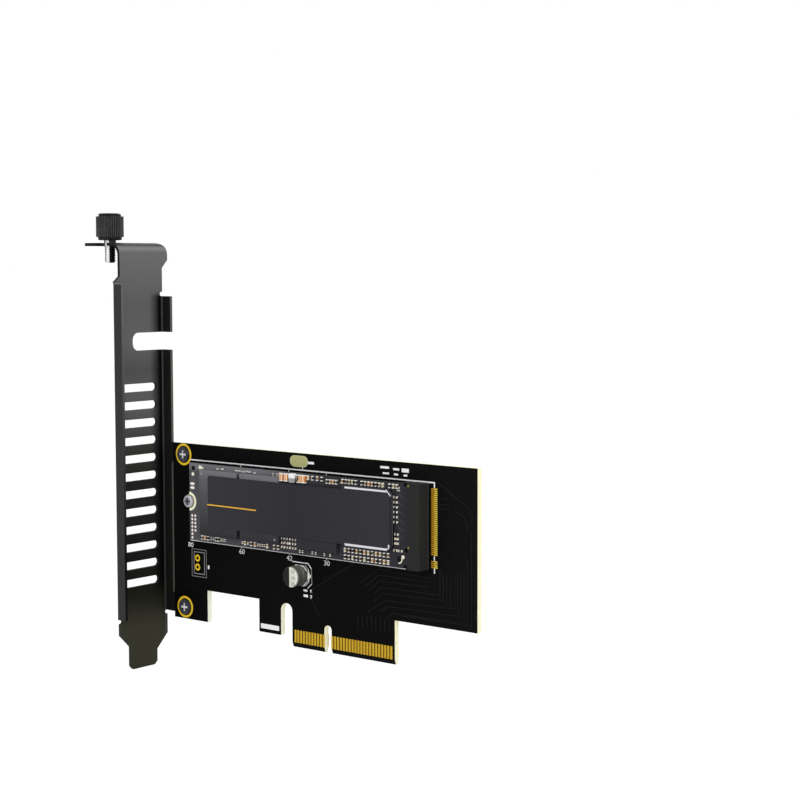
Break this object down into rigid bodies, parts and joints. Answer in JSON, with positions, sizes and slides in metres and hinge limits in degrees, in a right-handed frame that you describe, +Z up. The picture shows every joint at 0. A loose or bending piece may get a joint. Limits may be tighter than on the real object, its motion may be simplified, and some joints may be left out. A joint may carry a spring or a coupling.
{
  "type": "storage adapter card",
  "caption": "Plug-in card that carries one flat solid-state storage module, with an edge connector, a full-height slot bracket and a thumbscrew",
  "frame": {"origin": "centre line of the key notch at the bottom edge of the contact tongue, half way through the board", "axes": "+X from the bracket to the free end of the board, -Y out of the component side, +Z up out of the main board's socket"},
  "size_m": [0.1282, 0.0199, 0.1282],
  "materials": {
    "board": "satin",
    "gold": "polished",
    "pale_gold": "satin",
    "bracket_paint": "satin",
    "screw_steel": "satin",
    "knob": "satin",
    "socket_plastic": "matte",
    "module_board": "satin",
    "standoff_metal": "satin",
    "small_screw": "satin",
    "chip_plastic": "matte",
    "processor_shell": "satin",
    "label_film": "matte",
    "coil_body": "matte",
    "small_part_ceramic": "matte",
    "solder": "satin",
    "can_aluminium": "satin",
    "can_base": "matte"
  },
  "bodies": {
    "root": {"board": "board", "edge_contacts_front": "gold", "edge_contacts_back": "gold", "bracket": "bracket_paint", "screw_pads": "gold", "bracket_screws": "screw_steel", "thumbscrew_head": "knob", "thumbscrew_shank": "screw_steel", "module_socket": "socket_plastic", "socket_tails": "gold", "module_board": "module_board", "module_contacts": "gold", "module_mount_pad": "gold", "module_standoff": "standoff_metal", "module_screw": "small_screw", "memory_chips": "chip_plastic", "buffer_chip": "chip_plastic", "processor_chip": "processor_shell", "module_label": "label_film", "module_coil": "coil_body", "small_part_bodies": "small_part_ceramic", "small_part_ends": "solder", "capacitor_can": "can_aluminium", "capacitor_base": "can_base", "capacitor_leads": "solder", "header_pads": "gold", "oval_pad": "pale_gold"}
  },
  "joints": []
}
